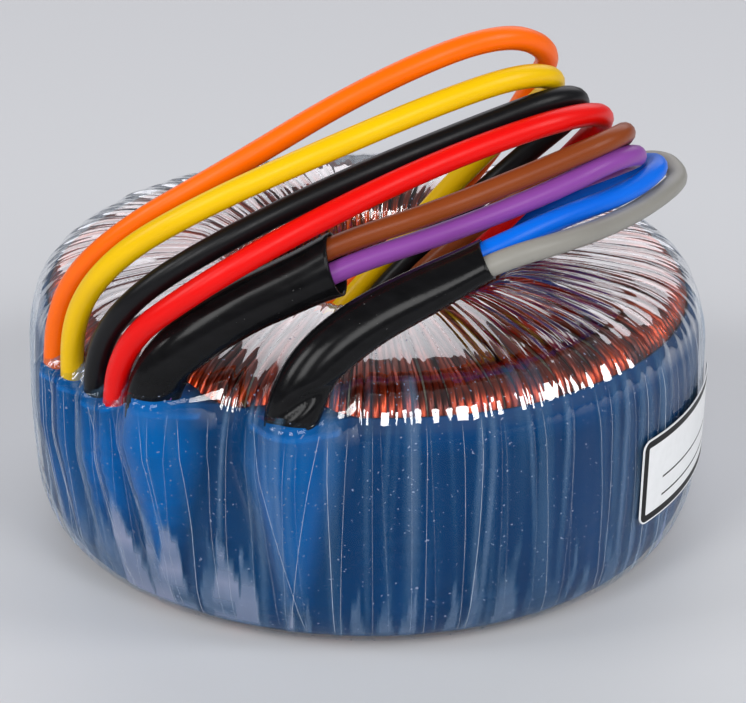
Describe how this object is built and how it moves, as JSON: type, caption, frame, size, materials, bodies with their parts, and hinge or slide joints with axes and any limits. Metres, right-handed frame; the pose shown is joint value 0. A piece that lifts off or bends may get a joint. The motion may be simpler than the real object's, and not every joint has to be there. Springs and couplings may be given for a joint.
{
  "type": "toroidal transformer",
  "caption": "Ring-shaped mains transformer under clear film with a blue tape band, its insulated flying leads arched over the top and tucked into the centre hole.",
  "frame": {"origin": "centre of the ring's underside, on the ring's axis", "axes": "+Z along the ring's axis, upwards from the side it stands on; the leads leave the side at -X and -Y"},
  "size_m": [0.0818, 0.0852, 0.065],
  "materials": {
    "core_steel": "wound silicon steel strip",
    "inner_tape": "polyester tape",
    "enamelled_copper": "copper wire under clear enamel",
    "blue_tape": "blue polyester tape",
    "clear_film": "clear polyester film, pleated",
    "label_paper": "white printed label",
    "black_sleeve": "black heat-shrink sleeve, satin",
    "orange_insulation": "satin PVC",
    "yellow_insulation": "satin PVC",
    "black_insulation": "satin PVC",
    "red_insulation": "satin PVC",
    "brown_insulation": "satin PVC",
    "purple_insulation": "satin PVC",
    "blue_insulation": "satin PVC",
    "grey_insulation": "satin PVC",
    "tinned_copper": "stranded copper, tinned"
  },
  "bodies": {
    "root": {"core": "core_steel", "core_wrap": "inner_tape", "primary_winding_1": "enamelled_copper", "primary_winding_2": "enamelled_copper", "primary_insulation": "inner_tape", "secondary_winding": "enamelled_copper", "blue_band": "blue_tape", "outer_wrap": "clear_film", "label": "label_paper", "sleeve_brown_purple": "black_sleeve", "sleeve_blue_grey": "black_sleeve", "lead_orange": "orange_insulation", "lead_yellow": "yellow_insulation", "lead_black": "black_insulation", "lead_red": "red_insulation", "lead_brown": "brown_insulation", "lead_purple": "purple_insulation", "lead_blue": "blue_insulation", "lead_grey": "grey_insulation", "tinned_end_orange": "tinned_copper", "tinned_end_yellow": "tinned_copper", "tinned_end_black": "tinned_copper", "tinned_end_red": "tinned_copper", "tinned_end_brown": "tinned_copper", "tinned_end_purple": "tinned_copper", "tinned_end_blue": "tinned_copper", "tinned_end_grey": "tinned_copper"}
  },
  "joints": []
}
